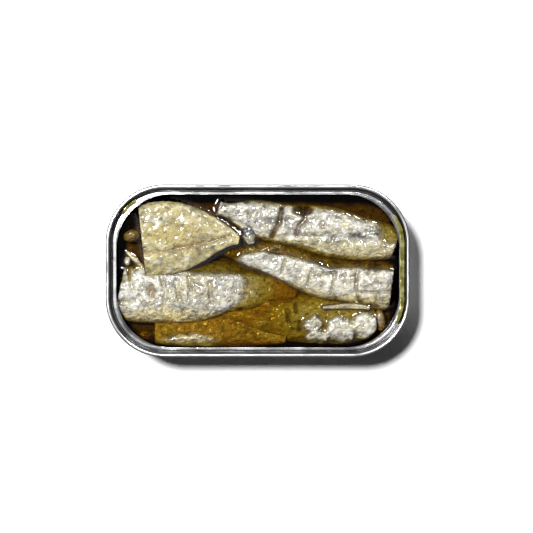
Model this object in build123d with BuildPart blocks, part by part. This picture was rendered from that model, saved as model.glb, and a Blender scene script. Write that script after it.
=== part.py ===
"""An opened sardine tin: a drawn aluminium can of the quarter-club shape, the
ring of its peeled lid still seamed to the rim, and sardine pieces in oil.

Millimetres, +Z up, +X along the tin. The origin is the middle of the base.
"""

import os
from collections import namedtuple
from math import copysign, cos, pi, sin, sqrt, tan

from build123d import *

# The can.
tin_length = 105.0
tin_width = 59.6
tin_height = 25.0
corner_radius = 20.3
sheet = 0.22  # aluminium
base_radius = 2.2  # where the wall turns into the base
panel_margin = 7.0  # from the wall to the pressed-up panel of the base
panel_rise = 0.7

# The double seam folds the lid's edge round the can's: five layers of sheet.
play = 0.05  # between the layers
seam_height = 3.0
seam_hook = 2.0  # how far each edge reaches into the other

# What is left of the lid: a slanted wall, a groove, and a ledge up to the torn score.
groove_depth = 3.7
groove_width = 0.8
chuck_slant = 0.35
ledge_rise = 0.7
tear_margin_x = 3.55  # from the outside of the seam to the torn edge
tear_margin_y = 3.3
tear_tighter = 1.5  # how much tighter the torn edge turns than the seam

# The contents. The fish are laid out below for a tin of the packed length and width;
# in another tin they are cut longer or shorter, and wider or narrower, in proportion.
headspace = 6.6  # from the top of the seam down to the oil
gap = 0.15  # between neighbours, and between oil and flesh
packed_length = 105.0
packed_width = 59.6

os.makedirs("parts", exist_ok=True)

layer = sheet + play
corner_x = tin_length / 2 - corner_radius
corner_y = tin_width / 2 - corner_radius
seam_bottom = tin_height - seam_height
tear_radius = corner_radius - tear_tighter
oil_level = tin_height - headspace
longer = tin_length / packed_length
wider = tin_width / packed_width


def layer_middle(count):
    """How far the middle of a layer is from the corner's axis, the outermost being 0."""
    return corner_radius - count * layer - sheet / 2


def outline(inset):
    """The tin's rounded rectangle, so far in from the outside of the seam."""
    RectangleRounded(
        tin_length - 2 * inset, tin_width - 2 * inset, corner_radius - inset
    )


def bent_sheet(points, radii):
    """The section of a sheet bent along a middle line: (out from the corner, up)."""
    with BuildLine() as middle:
        FilletPolyline(*points, radius=radii)
    make_face(middle.wire().offset_2d(sheet / 2, kind=Kind.ARC, side=Side.BOTH))


def run_round(points, radii):
    """A bent sheet carried all the way round the tin's outline."""
    long_side = Plane(origin=(0, corner_y, 0), x_dir=(0, 1, 0), z_dir=(1, 0, 0))
    short_side = Plane(origin=(corner_x, 0, 0), x_dir=(1, 0, 0), z_dir=(0, -1, 0))
    corner = Plane(origin=(corner_x, corner_y, 0), x_dir=(1, 0, 0), z_dir=(0, -1, 0))
    with BuildPart() as ring:
        with BuildSketch(long_side):
            bent_sheet(points, radii)
        extrude(amount=corner_x)
        with BuildSketch(short_side):
            bent_sheet(points, radii)
        extrude(amount=-corner_y)
        with BuildSketch(corner):
            bent_sheet(points, radii)
        revolve(axis=Axis((corner_x, corner_y, 0), (0, 0, 1)), revolution_arc=90)
        mirror(about=Plane.YZ)
        mirror(about=Plane.XZ)
    return ring.part


# The can: wall, base, and the flange that hooks into the seam.
wall_offset = 3 * layer  # the lid's two layers and the can's hook lie outside the wall
flange_top = tin_height - layer - sheet / 2
seam_bend = 0.9 * layer
crest_bend = 1.7 * layer
groove_bend = 0.3
wall_join = seam_bottom - 2 * sheet


def can_inside(top):
    """The space in the can, from its floor to a height."""
    with BuildPart() as inside:
        with BuildSketch(Plane.XY.offset(sheet)):
            outline(wall_offset + sheet)
        extrude(amount=top - sheet)
        fillet(inside.edges().group_by(Axis.Z)[0], base_radius - sheet)
        with BuildSketch(Plane.XY.offset(sheet)):
            outline(wall_offset + panel_margin - sheet * tan(pi / 8))
        extrude(amount=panel_rise, taper=45, mode=Mode.SUBTRACT)
    return inside.part


can_space = can_inside(wall_join)
flange = run_round(
    [
        (layer_middle(3), wall_join - sheet),
        (layer_middle(3), flange_top),
        (layer_middle(1), flange_top),
        (layer_middle(1), tin_height - layer - seam_hook),
    ],
    seam_bend,
)

with BuildPart() as tin_body:
    with BuildSketch():
        outline(wall_offset)
    extrude(amount=wall_join)
    fillet(tin_body.edges().group_by(Axis.Z)[0], base_radius)
    with BuildSketch():
        outline(wall_offset + panel_margin)
    extrude(amount=panel_rise, taper=45, mode=Mode.SUBTRACT)
    add(can_space, mode=Mode.SUBTRACT)
    add(flange)
tin_body.part.label = "tin_body"
export_step(tin_body.part, "parts/tin_body.step")

# The lid's ring: from the torn edge through the groove, up, over, and round the flange.
chuck = layer_middle(4)
crest = tin_height - sheet / 2
groove_floor = tin_height - groove_depth + sheet / 2
ledge_top = groove_floor + ledge_rise
groove_outer = chuck - chuck_slant
lid_edge = run_round(
    [
        (corner_radius - 2 * tear_margin_x, ledge_top),
        (groove_outer - groove_width, ledge_top),
        (groove_outer - groove_width, groove_floor),
        (groove_outer, groove_floor),
        (chuck, crest),
        (layer_middle(0), crest),
        (layer_middle(0), seam_bottom + sheet / 2),
        (layer_middle(2), seam_bottom + sheet / 2),
        (layer_middle(2), seam_bottom + seam_hook),
    ],
    [groove_bend, groove_bend, groove_bend, crest_bend, crest_bend, seam_bend, seam_bend],
)

with BuildPart() as lid_ring:
    add(lid_edge)
    with BuildSketch(Plane.XY.offset(ledge_top - sheet)):
        RectangleRounded(
            tin_length - 2 * tear_margin_x,
            tin_width - 2 * tear_margin_y,
            tear_radius,
        )
    extrude(amount=2 * sheet, mode=Mode.SUBTRACT)
lid_ring.part.label = "lid_ring"
export_step(lid_ring.part, "parts/lid_ring.step")

# The contents. A piece of fish is a closed body along a line of stations, each
# (x, y, half its width there); its top rises so far out of the oil, and it thins with
# its width.
Piece = namedtuple("Piece", "rise depth stations under")

pieces = {
    # The flat tail fillet on top of the rest, cut square at the left.
    "fillet_top": Piece(
        2.2,
        4.6,
        [(-40.3, 10.6, 12.6), (-34, 11.3, 12.9), (-27, 11.8, 12.1), (-19, 12.1, 8.9),
         (-12, 11.8, 4.6), (-6.5, 10.5, 1.4)],
        [],
    ),
    # Upper right: silver skin, with the belly's flap along its lower edge.
    "sardine_back": Piece(
        1.7,
        12.0,
        [(-13.6, 21.8, 2.8), (-5, 19.5, 5.2), (5, 16.9, 7.1), (15, 15.3, 7.8), (25, 13.5, 8.9),
         (35, 11.2, 8.0), (43, 10.2, 6.9), (47.8, 8.4, 4.6)],
        ["fillet_top"],
    ),
    # A torn bit of tail between the fillet's tip and its neighbours.
    "tail_bit": Piece(
        1.8,
        3.4,
        [(-3.5, 15.4, 1.9), (-3.0, 12.4, 2.3), (-2.3, 9.3, 1.1)],
        ["fillet_top", "sardine_back"],
    ),
    # Middle right: bright belly, with its olive back along the piece above.
    "sardine_right": Piece(
        1.8,
        12.0,
        [(-15.5, 5.9, 2.0), (-5, 6.0, 4.0), (3, 5.0, 6.0), (12, 2.2, 7.2), (20, -1.1, 7.9),
         (30, -3.3, 7.9), (38, -4.2, 8.4), (46.6, -5.2, 8.1)],
        ["fillet_top", "sardine_back", "tail_bit"],
    ),
    # A strip of fin and skin along the lower edge of the middle piece.
    "fin_strip": Piece(
        1.0,
        1.3,
        [(22.5, -12.8, 0.5), (30, -12.3, 0.9), (35, -12.4, 0.9), (39.0, -13.1, 0.5)],
        ["sardine_right"],
    ),
    # Left: the widest piece, torn at its left end, with its tail over the one below.
    "sardine_left": Piece(
        1.9,
        12.0,
        [(-48.0, -6.6, 8.2), (-44.5, -7.3, 10.2), (-38, -8.2, 10.2), (-28, -8.4, 10.0),
         (-20, -7.5, 10.2), (-12, -5.7, 9.4), (-4, -5.8, 8.2), (3, -6.4, 6.0), (8.5, -7.1, 3.7),
         (13.8, -7.8, 1.5)],
        ["fillet_top", "sardine_right"],
    ),
    # Bottom right, half in the oil, cut square at the right.
    "sardine_front_right": Piece(
        1.2,
        12.0,
        [(-9.0, -14.4, 3.2), (0, -15.6, 5.6), (10, -16.6, 8.0), (20, -16.5, 9.0), (28, -17.5, 8.2),
         (36, -18.0, 6.6), (41.2, -17.6, 4.6)],
        ["sardine_right", "fin_strip", "sardine_left"],
    ),
    # Bottom left, showing least above the oil.
    "sardine_front_left": Piece(
        0.5,
        10.0,
        [(-36, -20.9, 4.5), (-25, -20.8, 5.8), (-12, -20.5, 6.2), (0, -21.3, 5.0), (10, -23.0, 2.4)],
        ["sardine_left", "sardine_front_right"],
    ),
}
section_points = 16
section_power = 0.66  # under 1 makes the section fuller than an ellipse


def power(value):
    return copysign(abs(value) ** section_power, value)


def flesh(piece, grow=0.0):
    """A piece's body, or with grow the room that it takes."""
    stations = [(x * longer, y * wider, half * wider) for x, y, half in piece.stations]
    widest = max(half for _, _, half in stations)
    last = len(stations) - 1
    with BuildPart() as body:
        for count, (x, y, half) in enumerate(stations):
            x_from, y_from, _ = stations[max(count - 1, 0)]
            x_to, y_to, _ = stations[min(count + 1, last)]
            along = Vector(x_to - x_from, y_to - y_from).normalized()
            half_depth = piece.depth / 2 * sqrt(half / widest)
            end = (count == last) - (count == 0)
            centre = Vector(x, y, oil_level + piece.rise - half_depth) + along * end * grow
            across = Vector(along.Y, -along.X)
            with BuildSketch(Plane(origin=centre, x_dir=across, z_dir=along)):
                with BuildLine():
                    turns = [2 * pi * step / section_points for step in range(section_points)]
                    Spline(
                        *[
                            (
                                (half + grow) * power(cos(turn)),
                                (half_depth + grow) * power(sin(turn)),
                            )
                            for turn in turns
                        ],
                        periodic=True,
                    )
                make_face()
        loft()
    return body.part


rooms = {name: flesh(piece, gap) for name, piece in pieces.items()}

for name, piece in pieces.items():
    whole = flesh(piece)
    with BuildPart() as body:
        add(whole)
        for over in piece.under:
            add(rooms[over], mode=Mode.SUBTRACT)
    body.part.label = name
    export_step(body.part, f"parts/{name}.step")

# The oil fills the can up to its level, round the pieces that stand in it.
oil_space = can_inside(oil_level)
with BuildPart() as oil_and_drops:
    add(oil_space)
    for room in reversed(rooms.values()):
        add(room, mode=Mode.SUBTRACT)

# A drop shut in between two pieces is left out of the one pool.
with BuildPart() as oil:
    add(oil_and_drops.solids().sort_by(SortBy.VOLUME)[-1])
oil.part.label = "oil"
export_step(oil.part, "parts/oil.step")
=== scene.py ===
import itertools
import math

import bmesh
import bpy
import numpy as np
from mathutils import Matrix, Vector
from mathutils.bvhtree import BVHTree


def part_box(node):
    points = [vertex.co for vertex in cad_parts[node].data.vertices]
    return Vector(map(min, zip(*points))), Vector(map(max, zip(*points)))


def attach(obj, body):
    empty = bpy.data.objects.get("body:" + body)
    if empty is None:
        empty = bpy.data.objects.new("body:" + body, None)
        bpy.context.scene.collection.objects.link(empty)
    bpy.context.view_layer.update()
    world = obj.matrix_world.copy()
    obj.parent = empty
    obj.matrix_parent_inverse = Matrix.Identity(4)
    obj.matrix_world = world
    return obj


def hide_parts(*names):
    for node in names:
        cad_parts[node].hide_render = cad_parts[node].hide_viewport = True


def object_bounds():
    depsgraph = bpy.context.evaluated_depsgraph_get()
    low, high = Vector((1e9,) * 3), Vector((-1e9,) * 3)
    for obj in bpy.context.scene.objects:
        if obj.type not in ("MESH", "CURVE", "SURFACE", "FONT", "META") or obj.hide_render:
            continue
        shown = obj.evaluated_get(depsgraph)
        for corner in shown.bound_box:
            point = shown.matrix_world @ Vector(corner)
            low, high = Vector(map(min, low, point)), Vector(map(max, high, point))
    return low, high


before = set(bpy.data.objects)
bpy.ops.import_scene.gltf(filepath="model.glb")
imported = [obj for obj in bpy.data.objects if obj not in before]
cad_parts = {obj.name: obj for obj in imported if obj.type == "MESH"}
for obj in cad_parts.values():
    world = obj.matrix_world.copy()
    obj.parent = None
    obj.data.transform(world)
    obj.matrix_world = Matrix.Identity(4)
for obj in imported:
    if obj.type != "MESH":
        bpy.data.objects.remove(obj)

cad_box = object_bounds()
MM = 0.001

# The can is drawn from one blank of thin aluminium, with its base and wall in one,
# so its outside keeps the fine upright grain of the drawing die.
# Its flange is folded into the lid's edge by the double seam.


def new_material(name):
    """A material with its Principled shader, and short ways to add and join nodes."""
    material = bpy.data.materials.new(name)
    material.use_nodes = True
    nodes = material.node_tree.nodes
    return material, nodes, material.node_tree.links, nodes["Principled BSDF"]


def add_noise(nodes, links, coords, scale, detail=3.0, stretch=(1, 1, 1)):
    """Noise on object coordinates; scale counts grains per metre."""
    mapping = nodes.new("ShaderNodeMapping")
    mapping.inputs["Scale"].default_value = stretch
    noise = nodes.new("ShaderNodeTexNoise")
    noise.inputs["Scale"].default_value = scale
    noise.inputs["Detail"].default_value = detail
    links.new(coords.outputs["Object"], mapping.inputs["Vector"])
    links.new(mapping.outputs["Vector"], noise.inputs["Vector"])
    return noise


def add_ramp(nodes, links, source, stops):
    """A colour ramp over a value, from (place, grey or colour) stops."""
    ramp = nodes.new("ShaderNodeValToRGB")
    elements = ramp.color_ramp.elements
    while len(elements) < len(stops):
        elements.new(0.5)
    for element, (place, colour) in zip(elements, stops):
        element.position = place
        rgb = colour if isinstance(colour, tuple) else (colour,) * 3
        element.color = (*rgb, 1)
    links.new(source, ramp.inputs["Fac"])
    return ramp


def add_bump(nodes, links, source, shader, depth, strength=1.0):
    """Fine relief from a value, depth in metres."""
    bump = nodes.new("ShaderNodeBump")
    bump.inputs["Distance"].default_value = depth
    bump.inputs["Strength"].default_value = strength
    links.new(source, bump.inputs["Height"])
    links.new(bump.outputs["Normal"], shader.inputs["Normal"])
    return bump


def aluminium(name, tone, roughness, stretch):
    """Bright sheet with a drawn or rolled grain."""
    material, nodes, links, shader = new_material(name)
    coords = nodes.new("ShaderNodeTexCoord")
    grain = add_noise(nodes, links, coords, 900, 4.0, stretch)
    cloud = add_noise(nodes, links, coords, 90, 2.0)
    colour = add_ramp(nodes, links, grain.outputs["Fac"], [(0.3, tone * 0.86), (0.7, tone)])
    links.new(colour.outputs["Color"], shader.inputs["Base Color"])
    stops = [(0.35, roughness * 0.8), (0.7, roughness * 1.3)]
    rough = add_ramp(nodes, links, cloud.outputs["Fac"], stops)
    links.new(rough.outputs["Color"], shader.inputs["Roughness"])
    shader.inputs["Metallic"].default_value = 1.0
    add_bump(nodes, links, grain.outputs["Fac"], shader, 0.00002)
    return material


def dress(obj, material):
    """Gives a piece its one material."""
    obj.data.materials.clear()
    obj.data.materials.append(material)


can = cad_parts["tin_body"]
can.data.materials.clear()
can.data.materials.append(aluminium("drawn aluminium", 0.86, 0.3, (1, 1, 0.06)))

# The lid was scored and peeled off: its outer ring stays in the seam, with the
# slanted wall, the groove and a narrow ledge that ends in the torn score.
# The seaming rollers and the torn strip left fine lines that run along the rim.
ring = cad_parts["lid_ring"]
ring_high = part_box("lid_ring")[1]
seam_radius = 20.3 * MM  # the outside of the seam at a corner
rim_width = 4.5 * MM  # the span over which the rim's tones are laid


def math_node(nodes, links, operation, first, second=None):
    """One sum on a value; the second may be a number or another value."""
    node = nodes.new("ShaderNodeMath")
    node.operation = operation
    links.new(first, node.inputs[0])
    if isinstance(second, (int, float)):
        node.inputs[1].default_value = second
    elif second is not None:
        links.new(second, node.inputs[1])
    return node.outputs[0]


def rim_distance(nodes, links, coords):
    """How far out a point lies from the lines that join the corners' middles."""
    split = nodes.new("ShaderNodeSeparateXYZ")
    links.new(coords.outputs["Object"], split.inputs[0])
    sides = []
    for axis, half in zip("XY", (ring_high[0], ring_high[1])):
        away = math_node(nodes, links, "ABSOLUTE", split.outputs[axis])
        away = math_node(nodes, links, "SUBTRACT", away, half - seam_radius)
        away = math_node(nodes, links, "MAXIMUM", away, 0.0)
        sides.append(math_node(nodes, links, "POWER", away, 2.0))
    both = math_node(nodes, links, "ADD", sides[0], sides[1])
    return math_node(nodes, links, "SQRT", both)


def rolled_rim(name):
    """Bright sheet with lines along the rim, and painted shade on its steep parts and in its groove.
    """
    material, nodes, links, shader = new_material(name)
    coords = nodes.new("ShaderNodeTexCoord")
    out = rim_distance(nodes, links, coords)
    cloud = add_noise(nodes, links, coords, 160, 4.0)
    drift = math_node(nodes, links, "MULTIPLY", cloud.outputs["Fac"], 0.0006)
    lines = nodes.new("ShaderNodeTexNoise")
    lines.noise_dimensions = "1D"
    lines.inputs["Scale"].default_value = 5200
    lines.inputs["Detail"].default_value = 3.0
    links.new(math_node(nodes, links, "ADD", out, drift), lines.inputs["W"])
    colour = add_ramp(nodes, links, lines.outputs["Fac"], [(0.3, 0.6), (0.6, 0.93)])
    inward = math_node(nodes, links, "MULTIPLY", out, -1 / rim_width)
    inward = math_node(nodes, links, "ADD", inward, seam_radius / rim_width)
    # Tones across the rim, from its outer edge inwards: painted shade in the turn of the seam, on the
    # slanted wall, in the groove and at the ledge's torn edge; the crest and the ledge stay pale.
    rim_shade_stops = [(0.0, 0.8), (0.01, 0.8), (0.016, 0.14), (0.08, 0.16)]  # seam and its turn
    rim_shade_stops += [(0.11, 0.8), (0.21, 0.8)]  # crest
    rim_shade_stops += [(0.245, 0.1), (0.41, 0.07)]  # slanted wall and groove
    rim_shade_stops += [(0.46, 0.34), (0.52, 0.5), (0.72, 0.55), (0.78, 0.22)]  # ledge
    painted_rim_shade = add_ramp(nodes, links, inward, rim_shade_stops)
    both = nodes.new("ShaderNodeMix")
    both.data_type = "RGBA"
    both.blend_type = "MULTIPLY"
    both.inputs["Factor"].default_value = 1.0
    links.new(colour.outputs["Color"], both.inputs["A"])
    links.new(painted_rim_shade.outputs["Color"], both.inputs["B"])
    links.new(both.outputs["Result"], shader.inputs["Base Color"])
    rough = add_ramp(nodes, links, cloud.outputs["Fac"], [(0.3, 0.14), (0.7, 0.27)])
    links.new(rough.outputs["Color"], shader.inputs["Roughness"])
    shader.inputs["Metallic"].default_value = 1.0
    add_bump(nodes, links, lines.outputs["Fac"], shader, 0.00003)
    return material


ring.data.materials.clear()
ring.data.materials.append(rolled_rim("lid aluminium"))

# The fish: cooked sardine pieces, packed by hand, whose skin shows silver where it
# stands out of the oil. Each is modelled over its plain body: made even, roughened
# with torn fibres and folds, and painted in its own skin tones.


def grain(points, size, seed):
    """Smooth random values from -1 to 1, one a point, that change over about size."""
    cell = points / size
    base = np.floor(cell).astype(np.int64)
    part = cell - base
    part = part * part * (3 - 2 * part)
    total = np.zeros(len(points))
    for corner in itertools.product((0, 1), repeat=3):
        at = base + corner
        mix = at[:, 0] * 374761393 + at[:, 1] * 668265263 + at[:, 2] * 1274126177 + seed * 97531
        mix = (mix ^ (mix >> 13)) * 1103515245 & 0x7FFFFFFF
        mix = (mix ^ (mix >> 15)) * 12345 & 0x7FFFFFFF
        weight = np.ones(len(points))
        for axis, side in enumerate(corner):
            weight *= part[:, axis] if side else 1 - part[:, axis]
        total += weight * (mix / 0x3FFFFFFF - 1)
    return total


def layers(points, size, seed, count=3):
    """Grain at several sizes, each half the last."""
    total = np.zeros(len(points))
    for step in range(count):
        total += grain(points, size / 2**step, seed + step) / 2**step
    return total / (2 - 2 / 2**count)


def blob(points, x, y, rx, ry, turn=0.0, sharp=2):
    """1 inside an oval seen from above, falling to 0 outside it; millimetres, degrees."""
    angle = math.radians(turn)
    across = points[:, 0] - x
    up = points[:, 1] - y
    along = (across * math.cos(angle) + up * math.sin(angle)) / rx
    aside = (up * math.cos(angle) - across * math.sin(angle)) / ry
    return np.exp(-((along**2 + aside**2) ** sharp))


def body_of_flesh(node, voxel):
    """An even, closed mesh over a CAD body, ready to be shaped."""
    bpy.ops.object.select_all(action="DESELECT")
    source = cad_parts[node]
    piece = source.copy()
    piece.data = source.data.copy()
    piece.name = node + "_flesh"
    bpy.context.collection.objects.link(piece)
    bpy.context.view_layer.objects.active = piece
    piece.select_set(True)
    bpy.ops.object.mode_set(mode="EDIT")
    bpy.ops.mesh.select_all(action="SELECT")
    bpy.ops.mesh.remove_doubles(threshold=0.00001)
    bpy.ops.object.mode_set(mode="OBJECT")
    remesh = piece.modifiers.new("even", "REMESH")
    remesh.mode = "VOXEL"
    remesh.voxel_size = voxel * MM
    bpy.ops.object.modifier_apply(modifier=remesh.name)
    smooth = piece.modifiers.new("soft", "SMOOTH")
    smooth.iterations = 4
    bpy.ops.object.modifier_apply(modifier=smooth.name)
    return piece


def points_of(piece):
    """A mesh's points in millimetres."""
    flat = np.empty(len(piece.data.vertices) * 3)
    piece.data.vertices.foreach_get("co", flat)
    return flat.reshape(-1, 3) / MM


def put_points(piece, points):
    """Moves a mesh's points to places in millimetres."""
    piece.data.vertices.foreach_set("co", (points * MM).ravel())
    piece.data.update()


def paint(piece, colours):
    """Stores a colour a point for the piece's material."""
    layer = piece.data.attributes.new("skin", "FLOAT_COLOR", "POINT")
    rgba = np.ones((len(colours), 4))
    rgba[:, :3] = np.clip(colours, 0, 1)
    layer.data.foreach_set("color", rgba.ravel())


def mix(first, second, amount):
    """Blends two colours a point."""
    amount = np.clip(np.broadcast_to(amount, len(first)), 0, 1)[:, None]
    return first * (1 - amount) + np.asarray(second) * amount


oil_level = round(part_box("oil")[1][2] / MM, 3)


def wet_skin(name, roughness, wet):
    """Skin and flesh: the painted tones with fine fibres; out of the oil, a wet film."""
    material, nodes, links, shader = new_material(name)
    coords = nodes.new("ShaderNodeTexCoord")
    tones = nodes.new("ShaderNodeAttribute")
    tones.attribute_name = "skin"
    fibres = add_noise(nodes, links, coords, 800, 5.0, (0.7, 1, 1))
    speckle = add_noise(nodes, links, coords, 1150, 3.0)
    shade = add_ramp(nodes, links, fibres.outputs["Fac"], [(0.32, 0.4), (0.48, 0.88), (0.58, 1.0)])
    tint = nodes.new("ShaderNodeMix")
    tint.data_type = "RGBA"
    tint.blend_type = "MULTIPLY"
    tint.inputs["Factor"].default_value = 1.0
    links.new(tones.outputs["Color"], tint.inputs["A"])
    links.new(shade.outputs["Color"], tint.inputs["B"])
    links.new(tint.outputs["Result"], shader.inputs["Base Color"])
    shader.inputs["Roughness"].default_value = roughness
    split = nodes.new("ShaderNodeSeparateXYZ")
    links.new(coords.outputs["Object"], split.inputs[0])
    above = nodes.new("ShaderNodeMapRange")
    above.inputs["From Min"].default_value = (oil_level - 0.2) * MM
    above.inputs["From Max"].default_value = (oil_level + 0.5) * MM
    above.inputs["To Min"].default_value = 0.22 * wet
    above.inputs["To Max"].default_value = wet
    links.new(split.outputs["Z"], above.inputs["Value"])
    links.new(above.outputs["Result"], shader.inputs["Specular IOR Level"])
    links.new(above.outputs["Result"], shader.inputs["Coat Weight"])
    shader.inputs["Coat Roughness"].default_value = 0.13
    add_bump(nodes, links, speckle.outputs["Fac"], shader, 0.0008)
    return material


silver = (0.78, 0.75, 0.62)
cream = (0.68, 0.58, 0.27)
grey = (0.25, 0.25, 0.23)
olive = (0.34, 0.26, 0.07)
amber = (0.42, 0.23, 0.05)
ink = (0.02, 0.02, 0.025)
brown = (0.07, 0.035, 0.015)
flesh_pieces = []
skin = wet_skin("wet sardine skin", 0.34, 1.0)
fillet = wet_skin("moist fillet", 0.45, 0.4)


def smooth_step(value, start, end):
    """0 before the start, 1 past the end, and an even rise between."""
    part = np.clip((value - start) / (end - start), 0, 1)
    return part * part * (3 - 2 * part)


def line(points, stops, width):
    """1 along a line of stops seen from above, fading over a width."""
    nearest = np.full(len(points), 1e9)
    for (x0, y0), (x1, y1) in zip(stops, stops[1:]):
        run = np.array([x1 - x0, y1 - y0])
        along = ((points[:, 0] - x0) * run[0] + (points[:, 1] - y0) * run[1]) / (run @ run)
        along = np.clip(along, 0, 1)
        away = np.hypot(points[:, 0] - x0 - along * run[0], points[:, 1] - y0 - along * run[1])
        nearest = np.minimum(nearest, away)
    return np.exp(-((nearest / width) ** 2))


def beyond(points, stops):
    """How far points lie above (+Y) a line of stops that runs left to right."""
    xs, ys = zip(*stops)
    return points[:, 1] - np.interp(points[:, 0], xs, ys)


def shape(piece, at, lift, seed, rough=1.0):
    """Moves the upper side by a lift and roughens it; the underside stays."""
    low, high = at[:, 2].min(), at[:, 2].max()
    upper = np.clip((at[:, 2] - low) / (high - low) * 2 - 0.6, 0, 1)
    relief = 0.45 * layers(at, 5.5, seed) + 0.42 * layers(at, 2.2, seed + 9)
    relief += 0.16 * grain(at, 0.9, seed + 5)
    at[:, 2] += (lift + relief * rough) * upper
    put_points(piece, at)
    return relief


def skin_tones(at, relief, seed, base):
    """Mottled skin with grey scale marks, olive where oil pools low, a painted highlight on the raised
    parts and painted shade in the low ones.

    Towards the oil, where the film on it is thicker, the skin turns golden.
    """
    colours = np.tile(np.array(base), (len(at), 1))
    colours = mix(colours, cream, 0.25 + 0.9 * layers(at, 6.0, seed + 20))
    colours = mix(colours, olive, 0.10 - relief * 1.3 + 0.35 * layers(at, 2.2, seed + 3))
    marks = layers(at * (0.6, 1, 1), 1.3, seed + 30)
    colours = mix(colours, grey, 1.9 * np.clip(marks - 0.10, 0, 1))
    colours = mix(colours, (0.95, 0.95, 0.92), 2.2 * np.clip(-marks - 0.12, 0, 1))
    pits = grain(at, 0.7, seed + 40) + 0.6 * layers(at, 4.0, seed + 41)
    colours = mix(colours, (0.20, 0.15, 0.06), 0.9 * np.clip(pits - 0.62, 0, 1))
    low = oil_level + 0.95 + 0.5 * layers(at, 3.0, seed + 50) - at[:, 2]
    colours = mix(colours, (0.34, 0.25, 0.06), 0.85 * smooth_step(low, 0, 1.3))
    # Painted highlight on the raised skin and painted shade in its low parts.
    relief_light_and_shade = 1.2 * relief + 0.75 * layers(at * (0.7, 1, 1), 1.3, seed + 60)
    return colours * np.clip(0.95 + relief_light_and_shade, 0.25, 1.2)[:, None]


def finish_flesh(piece, node, colours, material=skin):
    """Paints a fish and puts it in place of its plain body."""
    paint(piece, colours)
    bpy.ops.object.select_all(action="DESELECT")
    bpy.context.view_layer.objects.active = piece
    piece.select_set(True)
    bpy.ops.object.shade_smooth()
    dress(piece, material)
    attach(piece, "root")
    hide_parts(node)
    flesh_pieces.append(piece)


# The flat fillet: a tail half without its skin, cut square at the left and laid on
# the rest last. Its cream flesh parts along the midline, and it's duller than skin.
piece = body_of_flesh("fillet_top", 0.32)
at = points_of(piece)
midline = [(-40, 5.8), (-33, 6.5), (-28, 7.8), (-24, 8.5), (-17, 10), (-10, 12)]
fold = line(at, midline, 0.8)
lift = -0.7 * fold - 0.5 * blob(at, -28.5, -0.5, 2.2, 1.2) + 0.25 * blob(at, -34, 1.5, 6, 3)
relief = shape(piece, at, lift, 11, 0.6)
colours = skin_tones(at, relief, 11, cream)
# Painted highlight on the raised flesh and painted shade in its low parts.
painted_swell_light = (1.05 + 0.8 * relief)[:, None]
colours = mix(colours, np.array(cream) * painted_swell_light, 0.45)
colours = mix(colours, (0.66, 0.52, 0.15), 0.6 * blob(at, -30, 12.5, 10, 3, 5))
colours = mix(colours, grey, 0.35 * blob(at, -32, 17, 5, 1.6, 5) * (layers(at, 1.5, 4) > 0))
seam_of_flesh = 0.6 * blob(at, -25, 8.7, 6, 1.0, 12) + 0.7 * line(at, midline, 0.4)
colours = mix(colours, (0.42, 0.27, 0.10), seam_of_flesh)
finish_flesh(piece, "fillet_top", colours, fillet)

# The upper right fish lies on its side: silver flank, torn across in two places,
# and below it the pale flap of the belly.
piece = body_of_flesh("sardine_back", 0.32)
at = points_of(piece)
flap = [(-8, 17.5), (0, 13.2), (8, 11.8), (15, 12), (33, 11.6), (46, 9.5)]
crack_left = [(8.3, 21.5), (7.3, 17), (5, 12)]
crack_right = [(15.5, 21.5), (16.5, 18), (14.2, 15.5), (13.5, 12.5)]
hole = blob(at, 15.7, 21, 3.6, 1.9, 0, 3)
lift = -0.7 * line(at, flap, 0.9) - 1.5 * line(at, crack_left, 0.8) - 1.3 * line(at, crack_right, 0.9)
lift += -1.5 * hole - 1.9 * smooth_step(at[:, 0], 40, 45) * smooth_step(beyond(at, flap), -0.5, 1.5)
lift += -0.5 * blob(at, 22.5, 16, 1.6, 1.5, 0, 3) - 0.4 * smooth_step(-beyond(at, flap), 0, 2)
relief = shape(piece, at, lift, 23)
colours = skin_tones(at, relief, 23, silver)
colours = mix(colours, colours * (0.86, 0.80, 0.52), smooth_step(-beyond(at, flap), 0.2, 1.2))
cracks = 1.3 * line(at, crack_left, 0.8) + 1.3 * line(at, crack_right, 0.9)
colours = mix(colours, (0.16, 0.09, 0.03), cracks)
colours = mix(colours, brown, line(at, crack_left[:2], 1.0) + 1.4 * hole)
torn = layers(at, 1.6, 29) > 0.1
colours = mix(colours, brown, 0.9 * blob(at, -12.5, 21.5, 2.2, 3.0, 0, 3) * torn)
colours = mix(colours, (0.34, 0.24, 0.11), blob(at, 22.5, 16, 1.5, 1.5, 0, 4))
colours = mix(colours, ink, 1.6 * blob(at, 35.3, 12.1, 2.5, 1.1) * (grain(at, 0.8, 7) > -0.25))
specks = [(30.2, 8.2, 0.35), (37.3, 8.5, 0.4), (-7.2, 19, 0.4)]
specks += [(-3, 17.2, 0.5), (-0.8, 16.8, 0.5), (12, 15.8, 0.35)]
for x, y, size in specks:
    colours = mix(colours, ink, blob(at, x, y, size, size * 0.8))
colours = mix(colours, olive, 0.6 * smooth_step(at[:, 0], 40, 45))
finish_flesh(piece, "sardine_back", colours)

# The torn tail bit, with black skin at its top and grey below, lies loose between
# the fillet's tip and its neighbours.
piece = body_of_flesh("tail_bit", 0.22)
at = points_of(piece)
relief = shape(piece, at, np.zeros(len(at)), 31)
colours = skin_tones(at, relief, 31, grey)
colours = mix(colours, ink, smooth_step(at[:, 1] + 0.8 * grain(at, 1, 3), 11.8, 12.8))
finish_flesh(piece, "tail_bit", colours)

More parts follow.
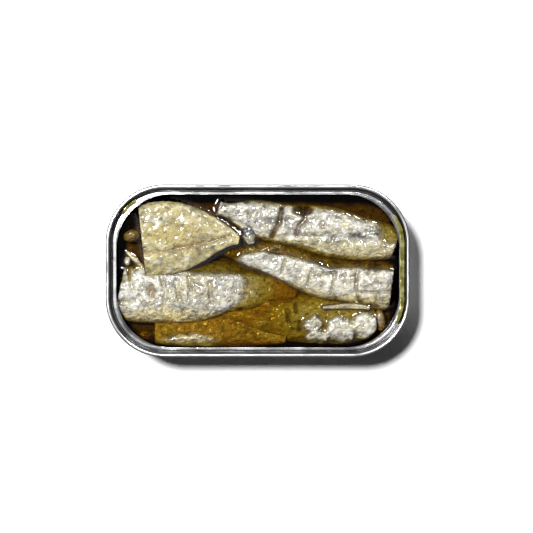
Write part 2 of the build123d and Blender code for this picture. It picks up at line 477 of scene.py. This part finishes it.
# The middle right fish lies on its side, cut off square at the right: a bright
# belly, creased across, with its olive back just under the oil.
piece = body_of_flesh("sardine_right", 0.32)
at = points_of(piece)
back = [(-9, 3.2), (-4, 5.2), (2, 6.0), (10, 4.6), (16, 3.2)]
back += [(22, 1.4), (26, 0.3), (33, 0.6), (40, 0), (47, -0.4)]
above = beyond(at, back)
lift = -2.5 * smooth_step(above + 0.4 * layers(at, 3, 5), -0.2, 1.3)
notch = [(38.3, -0.8), (39.5, 2.5)]
slit = [(23, -1), (26.3, -0.6)]
lift += -0.6 * line(at, [(34.5, 0), (34, -6), (35.5, -11)], 0.7)
lift += -0.4 * line(at, [(36, -7.6), (46.5, -7.2)], 0.5)
lift += -0.9 * line(at, notch, 0.7) - 0.7 * line(at, slit, 0.5)
lift += 0.25 * blob(at, 29.5, -3, 3.6, 3) + 0.25 * blob(at, 41.5, -3.6, 4, 2.8)
lift += -2.2 * smooth_step(-at[:, 0], 5, 9)
creases = [[(34.5, 0), (34, -6), (35.5, -11)], [(27, -0.5), (25.5, -7), (28, -11.5)]]
creases += [[(19, 0.5), (17, -5)], [(36, -7.6), (46.5, -7.2)]]
creases += [[(41.5, -8), (41, -12.5)], [(9.5, 4), (8, -1)]]
for stops in creases:
    lift += -0.6 * line(at, stops, 0.55)
relief = shape(piece, at, lift, 47)
colours = skin_tones(at, relief, 47, silver)
colours = mix(colours, colours * (0.5, 0.38, 0.14), smooth_step(above, 0, 1.5))
colours = mix(colours, colours * (0.9, 0.8, 0.5), smooth_step(-above, 7.5, 10))
colours = mix(colours, brown, 0.8 * line(at, notch, 0.5) + 0.7 * line(at, slit, 0.4))
# Painted shade along the creases.
for stops in creases:
    colours = mix(colours, (0.24, 0.16, 0.05), 0.75 * line(at, stops, 0.5))
finish_flesh(piece, "sardine_right", colours)

# A strip of fin and skin, half torn off, hangs along the middle fish's lower edge.
# It is thin, pale and slightly olive.
piece = body_of_flesh("fin_strip", 0.2)
at = points_of(piece)
relief = shape(piece, at, np.zeros(len(at)), 53, 0.3)
finish_flesh(piece, "fin_strip", mix(skin_tones(at, relief, 53, cream), olive, 0.5))

# The left fish is the widest: torn at its left end, folded in three places, and
# its tail sinks under the oil to the right.
piece = body_of_flesh("sardine_left", 0.32)
at = points_of(piece)
torn_edge = [(-45, 3), (-44.6, -3), (-43, -7)]
folds = [[(-28.5, -3.5), (-27.5, -9), (-25.5, -15)], [(-24, -2), (-23.5, -9)]]
folds += [[(-17, -4), (-16, -11)], [(-33.5, -2), (-32, -8), (-33, -14)]]
folds += [[(-41, -9), (-38, -14)], torn_edge]
lift = -2.1 * smooth_step(at[:, 0], -14, -2) - 0.2 * np.maximum(at[:, 0] + 2, 0)
lift += -2.2 * smooth_step(at[:, 1], -2.4, 0.4) * smooth_step(at[:, 0], -28, -20)
lift += -2.0 * blob(at, -47.5, -3, 2.4, 1.1, 30) - 1.8 * blob(at, -42.6, 1.6, 1.1, 2.0)
for stops in folds:
    lift += -1.1 * line(at, stops, 0.7)
lift += -1.2 * line(at, [(-45, 2), (-44.6, -3)], 0.6) - 1.5 * blob(at, -46.5, -11, 2.2, 1.0)
lift += -1.1 * blob(at, -37, -7, 1.6, 2.6)
relief = shape(piece, at, lift, 61)
colours = skin_tones(at, relief, 61, silver)
colours = mix(colours, olive, 0.9 * smooth_step(at[:, 0], -5, 1))
colours = mix(colours, amber, smooth_step(at[:, 0], 1, 8))
top_band = smooth_step(at[:, 1] + 0.8 * layers(at, 3, 67), -2.4, 0.0) * smooth_step(at[:, 0], -27, -20)
colours = mix(colours, (0.20, 0.15, 0.03), 0.9 * top_band)
colours = mix(colours, colours * (1.0, 0.88, 0.52), blob(at, -30, -15.5, 18, 2.2, 0, 3))
hole = blob(at, -37, -7, 1.5, 2.6, 8, 3) + 0.6 * blob(at, -38, -11, 0.9, 1.1)
colours = mix(colours, (0.26, 0.16, 0.05), hole)
broken = 0.6 + layers(at, 3.0, 65)
# Painted shade along the folds, broken up by grain.
for stops in folds:
    colours = mix(colours, (0.30, 0.21, 0.06), 0.6 * line(at, stops, 0.45) * broken)
specks = [(-41.5, -6.7, 0.4), (-34.5, -7, 0.35), (-6.2, -10, 0.6), (-10, -10.5, 0.6)]
for x, y, size in specks:
    colours = mix(colours, ink, blob(at, x, y, size, size * 0.7))
finish_flesh(piece, "sardine_left", colours)

# The lower right fish: its silver skin stands out of the oil in ragged patches at
# the right, and the rest lies under it, with slots where the flesh has parted.
piece = body_of_flesh("sardine_front_right", 0.32)
at = points_of(piece)
patches = [(19.5, -18.3, 3.6, 2.6, 20), (20.8, -23.0, 4.6, 2.2, 0)]
patches += [(28.9, -20.7, 5.3, 4.8, 0), (37.6, -19.3, 4.5, 5.2, 10)]
shown = np.zeros(len(at))
frayed = at + 1.8 * np.stack([layers(at, 2.5, 6), layers(at, 2.5, 16), 0 * at[:, 0]], axis=1)
for x, y, rx, ry, turn in patches:
    shown = np.maximum(shown, blob(frayed, x, y, rx, ry, turn, 7))
lift = -2.1 + 2.5 * shown - 0.13 * np.maximum(14 - at[:, 0], 0)
slots = [[(10.3, -14), (10.5, -17.5)], [(13, -11.5), (13.3, -14.5)], [(14.5, -18), (14.3, -21)]]
for stops in slots:
    lift += -0.8 * line(at, stops, 0.7)
relief = shape(piece, at, lift, 79)
colours = skin_tones(at, relief, 79, silver)
colours = mix(colours, olive, 0.9 * (1 - shown))
colours = mix(colours, amber, 0.8 * smooth_step(-at[:, 0], -12, 0))
for stops in slots:
    colours = mix(colours, brown, 0.9 * line(at, stops, 0.6))
colours = mix(colours, ink, blob(at, 12.3, -20.2, 0.8, 0.5))
finish_flesh(piece, "sardine_front_right", colours)

# The lower left fish lies under the oil, amber through it, but for a pale crescent
# that the packing pressed up along the wall.
piece = body_of_flesh("sardine_front_left", 0.32)
at = points_of(piece)
crescent = blob(at, -24, -25.0, 11.5, 3.4, 0, 3)
lift = -2.1 + 2.2 * crescent
relief = shape(piece, at, lift, 83)
colours = skin_tones(at, relief, 83, cream)
colours = mix(colours, amber, (1 - crescent) * (0.7 + 0.5 * grain(at * (0.5, 1, 1), 1.5, 8)))
finish_flesh(piece, "sardine_front_left", colours)

# Bits of fish that the packing left at the ends: brown flesh, a fin and a tip of
# skin, each a small rounded scrap that is mostly in the oil.


def scrap(name, middle, half, turn, seed, tones):
    """A loose bit of flesh: an egg shape made even, roughened and painted."""
    bpy.ops.mesh.primitive_uv_sphere_add(segments=32, ring_count=16, radius=MM)
    bit = bpy.context.active_object
    bit.name = name
    at = points_of(bit) * np.array(half)
    angle = math.radians(turn)
    turned_x = at[:, 0] * math.cos(angle) - at[:, 1] * math.sin(angle)
    turned_y = at[:, 0] * math.sin(angle) + at[:, 1] * math.cos(angle)
    put_points(bit, np.stack([turned_x, turned_y, at[:, 2]], axis=1) + np.array(middle))
    remesh = bit.modifiers.new("even", "REMESH")
    remesh.mode = "VOXEL"
    remesh.voxel_size = 0.25 * MM
    bpy.ops.object.modifier_apply(modifier=remesh.name)
    at = points_of(bit)
    relief = shape(bit, at, np.zeros(len(at)), seed, 0.8)
    paint(bit, mix(skin_tones(at, relief, seed, tones), tones, 0.55))
    bpy.ops.object.shade_smooth()
    dress(bit, skin)
    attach(bit, "root")
    flesh_pieces.append(bit)


scrap("end_bit_left", (-44.0, 12.2, 16.6), (3.0, 2.2, 1.9), 10, 91, (0.20, 0.11, 0.04))
scrap("end_bit_right", (42.6, -17.2, 16.6), (1.9, 4.0, 2.0), 8, 92, (0.22, 0.12, 0.05))
scrap("fin_left", (-42.8, 4.0, 18.2), (4.3, 0.9, 0.9), -43, 93, cream)
scrap("end_tip_left", (-45.4, 3.4, 18.0), (1.1, 1.6, 1.0), 0, 94, silver)

# Lower in the tin lies more fish, of which only brown and amber shows through the
# oil: one uneven bed of flesh that sinks towards the wall.


def tops_x(step, tops):
    """Where the tops lie along the tin, in millimetres."""
    xs = (np.arange(tops.shape[1]) - (tops.shape[1] - 1) / 2) * step
    return np.broadcast_to(xs, tops.shape)


def tops_y(step, tops):
    """Where the tops lie across the tin, in millimetres."""
    ys = (np.arange(tops.shape[0]) - (tops.shape[0] - 1) / 2) * step
    return np.broadcast_to(ys[:, None], tops.shape)


def empty_tops(step):
    """A grid of tops over the whole can, so many millimetres apart."""
    return np.zeros((int(2 * half_y / step) + 2, int(2 * half_x / step) + 2))


def poured(name, step, tops):
    """A closed body that fills the can's outline, up to the tops that it's given."""
    rows, columns = tops.shape
    grid_x, grid_y = tops_x(step, tops), tops_y(step, tops)
    out_x = np.abs(grid_x) - (half_x - inside_radius)
    out_y = np.abs(grid_y) - (half_y - inside_radius)
    from_corner = np.hypot(np.maximum(out_x, 0), np.maximum(out_y, 0))
    outside = (out_x > 0) & (out_y > 0) & (from_corner > inside_radius)
    outside |= (np.abs(grid_x) > half_x) | (np.abs(grid_y) > half_y)
    scale = inside_radius / np.maximum(from_corner, 0.001)
    in_corner = (out_x > 0) & (out_y > 0) & outside
    pulled_x = np.sign(grid_x) * (half_x - inside_radius + out_x * scale)
    pulled_y = np.sign(grid_y) * (half_y - inside_radius + out_y * scale)
    move_x = np.clip(np.where(in_corner, pulled_x, grid_x), -half_x, half_x)
    move_y = np.clip(np.where(in_corner, pulled_y, grid_y), -half_y, half_y)
    mesh = bmesh.new()
    corners = np.stack([move_x, move_y, tops], axis=-1).reshape(-1, 3) * MM
    verts = [mesh.verts.new(corner) for corner in corners]
    flat_outside = outside.ravel()
    for row in range(rows - 1):
        for column in range(columns - 1):
            first = row * columns + column
            loop = (first, first + 1, first + 1 + columns, first + columns)
            if not all(flat_outside[index] for index in loop):
                mesh.faces.new([verts[index] for index in loop])
    bmesh.ops.delete(mesh, geom=[v for v in mesh.verts if not v.link_faces], context="VERTS")
    bmesh.ops.remove_doubles(mesh, verts=mesh.verts, dist=merge)
    edge = [part for part in mesh.edges if part.is_boundary]
    skirt = bmesh.ops.extrude_edge_only(mesh, edges=edge)["geom"]
    for vert in (part for part in skirt if isinstance(part, bmesh.types.BMVert)):
        vert.co.z = can_floor
    edge = [part for part in mesh.edges if part.is_boundary]
    bmesh.ops.edgenet_fill(mesh, edges=edge)
    bmesh.ops.recalc_face_normals(mesh, faces=mesh.faces)
    data = bpy.data.meshes.new(name)
    mesh.to_mesh(data)
    mesh.free()
    for polygon in data.polygons:
        polygon.use_smooth = polygon.normal.z > 0.3
    body = bpy.data.objects.new(name, data)
    bpy.context.collection.objects.link(body)
    return body


oil_high = np.array(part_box("oil")[1]) / MM
half_x = oil_high[0] + 0.1
half_y = oil_high[1] + 0.1
inside_radius = seam_radius / MM - 0.93
can_floor = 0.85 * MM
merge = 0.02 * MM
step = 0.8
tops = empty_tops(step)
bed_x, bed_y = tops_x(step, tops), tops_y(step, tops)
at = np.stack([bed_x.ravel(), bed_y.ravel(), 0 * bed_x.ravel()], axis=1)
inward = np.minimum(half_x - np.abs(at[:, 0]), half_y - np.abs(at[:, 1]))
heights = 2.5 + 10.0 * smooth_step(inward, 1.0, 6.0) + 1.4 * layers(at, 6.0, 71)
heights += 3.4 * blob(at, 6, -16, 26, 8, -6, 2) + 1.2 * layers(at * (0.5, 1, 1), 2.0, 75)
bed = poured("sunken_fish", step, np.minimum(heights, oil_level - 1.2).reshape(tops.shape))
at = points_of(bed)
colours = np.tile(np.array((0.26, 0.21, 0.09)), (len(at), 1))
amber_part = blob(at, 6, -16, 24, 9, -6, 2)
streaks = 0.7 + 0.9 * layers(at * (0.5, 1, 1), 3.0, 77)
colours = mix(colours, (0.55, 0.30, 0.08), amber_part * streaks)
paint(bed, colours)
dress(bed, skin)
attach(bed, "root")

# The oil: clear golden vegetable oil, poured in before the lid was seamed on. It
# fills the can up to its level and creeps up every edge that stands out of it.
step = 0.26
surface = empty_tops(step)
grid_x, grid_y = tops_x(step, surface), tops_y(step, surface)
heights = np.full(surface.shape, -1.0)
for piece in flesh_pieces:
    at = points_of(piece)
    low, high = at.min(axis=0), at.max(axis=0)
    tree = BVHTree.FromObject(piece, bpy.context.evaluated_depsgraph_get())
    near = (grid_x > low[0]) & (grid_x < high[0]) & (grid_y > low[1]) & (grid_y < high[1])
    for row, column in zip(*np.nonzero(near)):
        start = Vector((grid_x[row, column] * MM, grid_y[row, column] * MM, 0.05))
        hit = tree.ray_cast(start, Vector((0, 0, -1)))[0]
        if hit:
            heights[row, column] = max(heights[row, column], hit.z / MM)

climb = 0.8  # how high the oil creeps up what stands in it
reach = 0.9  # and over what distance it falls back to its level
covered = 0.4  # it lies over what rises less than this
stands_out = heights > oil_level + covered
surface += oil_level
fixed = np.minimum(heights - 0.03, oil_level + climb)
pull = (reach / step) ** 2
for _ in range(220):
    beside = np.roll(surface, 1, 0) + np.roll(surface, -1, 0)
    beside += np.roll(surface, 1, 1)
    beside += np.roll(surface, -1, 1)
    surface = (oil_level + pull * beside) / (1 + 4 * pull)
    surface = np.where(stands_out, fixed, surface)
bubbles = [(1.6, 6.9, 1.25), (6.7, 6.9, 1.45)]
for x, y, radius in bubbles:
    away = np.hypot(grid_x - x, grid_y - y)
    surface += 0.42 * np.exp(-(((away - radius) / 0.42) ** 2))
oil = poured("oil_pool", step, surface)


def clear_oil():
    """Lets light through, mirrors a little at its face, and deepens to amber below."""
    material, nodes, links, shader = new_material("golden oil")
    nodes.remove(shader)
    output = nodes["Material Output"]
    clear = nodes.new("ShaderNodeBsdfTransparent")
    gloss = nodes.new("ShaderNodeBsdfGlossy")
    gloss.inputs["Roughness"].default_value = 0.03
    fresnel = nodes.new("ShaderNodeFresnel")
    fresnel.inputs["IOR"].default_value = 1.47
    both = nodes.new("ShaderNodeMixShader")
    links.new(fresnel.outputs["Fac"], both.inputs["Fac"])
    links.new(clear.outputs["BSDF"], both.inputs[1])
    links.new(gloss.outputs["BSDF"], both.inputs[2])
    links.new(both.outputs["Shader"], output.inputs["Surface"])
    volume = nodes.new("ShaderNodeVolumeAbsorption")
    volume.inputs["Color"].default_value = (0.835, 0.76, 0.0, 1)
    volume.inputs["Density"].default_value = 750
    links.new(volume.outputs["Volume"], output.inputs["Volume"])
    return material


dress(oil, clear_oil())
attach(oil, "root")
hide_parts("oil")

# Oil spilled on the ledge when the lid was peeled: a long puddle on the right and a
# short one in the upper left corner, each a film thick and held by its own surface.


def ledge_point(along, inset):
    """A point so far round the rim from the middle of its right side, and so far in."""
    straight_x = ring_high[0] / MM - seam_radius / MM
    straight_y = ring_high[1] / MM - seam_radius / MM
    radius = seam_radius / MM - inset
    turn = math.pi / 2 * seam_radius / MM
    lengths = [straight_y, turn, 2 * straight_x, turn]
    side = math.copysign(1, along)
    along = abs(along)
    if along < lengths[0]:
        return straight_x + radius, side * along
    along -= lengths[0]
    if along < lengths[1]:
        angle = along / lengths[1] * math.pi / 2
        height = straight_y + radius * math.sin(angle)
        return straight_x + radius * math.cos(angle), side * height
    along -= lengths[1]
    if along < lengths[2]:
        return straight_x - along, side * (straight_y + radius)
    angle = (along - lengths[2]) / lengths[3] * math.pi / 2
    height = straight_y + radius * math.cos(angle)
    return -straight_x - radius * math.sin(angle), side * height


def film():
    """Oil a film thick over bright sheet: olive gold with paler streaks."""
    material, nodes, links, shader = new_material("oil film")
    coords = nodes.new("ShaderNodeTexCoord")
    cloud = add_noise(nodes, links, coords, 500, 4.0)
    stops = [(0.3, (0.14, 0.125, 0.02)), (0.48, (0.30, 0.28, 0.06)), (0.64, (0.62, 0.60, 0.27))]
    colour = add_ramp(nodes, links, cloud.outputs["Fac"], stops)
    links.new(colour.outputs["Color"], shader.inputs["Base Color"])
    shader.inputs["Roughness"].default_value = 0.08
    shader.inputs["Metallic"].default_value = 0.4
    add_bump(nodes, links, cloud.outputs["Fac"], shader, 0.0002)
    return material


def puddle(name, start, end, outer, inner, top):
    """A flat drop along the ledge, thinning to nothing at its ends and edges."""
    count = int(abs(end - start) / 0.35) + 1
    mesh = bmesh.new()
    rings = []
    for turn in range(count + 1):
        share = turn / count
        along = start + (end - start) * share
        full = math.sqrt(max(1 - abs(2 * share - 1) ** 8, 0.02))
        wave = 0.13 * math.sin(9 * share + start) + 0.08 * math.sin(31 * share)
        middle = (outer + inner) / 2 + wave * 0.4
        half = (inner - outer) / 2 * full + wave * 0.3 * full
        ring_points = []
        for across in range(9):
            place = -1 + across / 4
            x, y = ledge_point(along, middle + place * half)
            height = top - 0.16 + 0.16 * math.sqrt(max(1 - place**4, 0)) * full
            ring_points.append(mesh.verts.new((x * MM, y * MM, height * MM)))
        for across in (8, 0):
            x, y = ledge_point(along, middle + (-1 + across / 4) * half)
            ring_points.append(mesh.verts.new((x * MM, y * MM, (top - 0.3) * MM)))
        rings.append(ring_points)
    for first, second in zip(rings, rings[1:]):
        for index in range(len(first)):
            after = (index + 1) % len(first)
            mesh.faces.new((first[index], first[after], second[after], second[index]))
    mesh.faces.new(rings[0])
    mesh.faces.new(rings[-1])
    bmesh.ops.recalc_face_normals(mesh, faces=mesh.faces)
    data = bpy.data.meshes.new(name)
    mesh.to_mesh(data)
    mesh.free()
    for polygon in data.polygons:
        polygon.use_smooth = True
    drop = bpy.data.objects.new(name, data)
    bpy.context.collection.objects.link(drop)
    dress(drop, film_material)
    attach(drop, "root")


film_material = film()
film_top = ring_high[2] / MM - 2.61  # 0.17 over the ledge
puddle("ledge_oil_right", 21.5, -20.0, 1.75, 3.3, film_top)
puddle("ledge_oil_left", 125.5, 117.6, 1.6, 3.1, film_top)

# The tin stands on a plain white ground under a soft lamp from the upper left. A
# second lamp only glints in what is wet or bright, and the sky, which lights matt
# things very little, shows in reflections.
bpy.ops.mesh.primitive_plane_add(size=4, location=(0, 0, 0))
ground = bpy.context.active_object
ground.name = "ground"
material, nodes, links, shader = new_material("white ground")
path = nodes.new("ShaderNodeLightPath")
tint = nodes.new("ShaderNodeMix")
tint.data_type = "RGBA"
seen_by_the_tin = (0.3, 0.3, 0.3, 1)
seen_by_the_camera = (1.3, 1.3, 1.3, 1)
tint.inputs["A"].default_value = seen_by_the_tin
tint.inputs["B"].default_value = seen_by_the_camera
links.new(path.outputs["Is Camera Ray"], tint.inputs["Factor"])
links.new(tint.outputs["Result"], shader.inputs["Base Color"])
shader.inputs["Roughness"].default_value = 1.0
shader.inputs["Specular IOR Level"].default_value = 0.0
ground.data.materials.append(material)

world = bpy.data.worlds.new("studio")
bpy.context.scene.world = world
world.use_nodes = True
nodes, links = world.node_tree.nodes, world.node_tree.links
coords = nodes.new("ShaderNodeTexCoord")
split = nodes.new("ShaderNodeSeparateXYZ")
links.new(coords.outputs["Generated"], split.inputs["Vector"])
sky = nodes.new("ShaderNodeValToRGB")
stops = [(0.0, 0.05), (0.2, 0.25), (0.4, 0.9), (0.86, 1.0), (0.95, 0.4), (0.99, 0.1)]
elements = sky.color_ramp.elements
while len(elements) < len(stops):
    elements.new(0.5)
for element, (place, tone) in zip(elements, stops):
    element.position = place
    element.color = (tone, tone, tone * 1.02, 1)
links.new(split.outputs["Z"], sky.inputs["Fac"])
links.new(sky.outputs["Color"], nodes["Background"].inputs["Color"])
path = nodes.new("ShaderNodeLightPath")
strength = nodes.new("ShaderNodeMapRange")
sky_as_light = 0.03
sky_in_reflections = 0.95
strength.inputs["To Min"].default_value = sky_as_light
strength.inputs["To Max"].default_value = sky_in_reflections
first = math_node(nodes, links, "LESS_THAN", path.outputs["Diffuse Depth"], 0.5)
mirrored = math_node(nodes, links, "MULTIPLY", first, path.outputs["Is Glossy Ray"])
links.new(mirrored, strength.inputs["Value"])
links.new(strength.outputs["Result"], nodes["Background"].inputs["Strength"])

lamps = [
    ("key", (-0.26, 0.22, 1), 3.25, 8),
    ("glint", (0.3, 0.52, 1), 1.8, 10),
]
for name, towards, energy, spread in lamps:
    bpy.ops.object.light_add(type="SUN")
    lamp = bpy.context.active_object
    lamp.name = name
    lamp.data.energy = energy
    lamp.data.angle = math.radians(spread)
    lamp.visible_diffuse = name == "key"
    lamp.rotation_euler = Vector(towards).to_track_quat("Z", "Y").to_euler()

view_height = 0.7
view_width = 0.1837
rim_height = cad_box[1][2]
aim_x, aim_y = 0.003, 0.0015
sensor = 36
camera = bpy.data.objects.new("camera", bpy.data.cameras.new("camera"))
bpy.context.collection.objects.link(camera)
camera.data.sensor_width = sensor
camera.data.lens = sensor * view_height / view_width
camera.location = (aim_x, aim_y, rim_height + view_height)
bpy.context.scene.camera = camera
bpy.context.scene.view_settings.view_transform = "Standard"
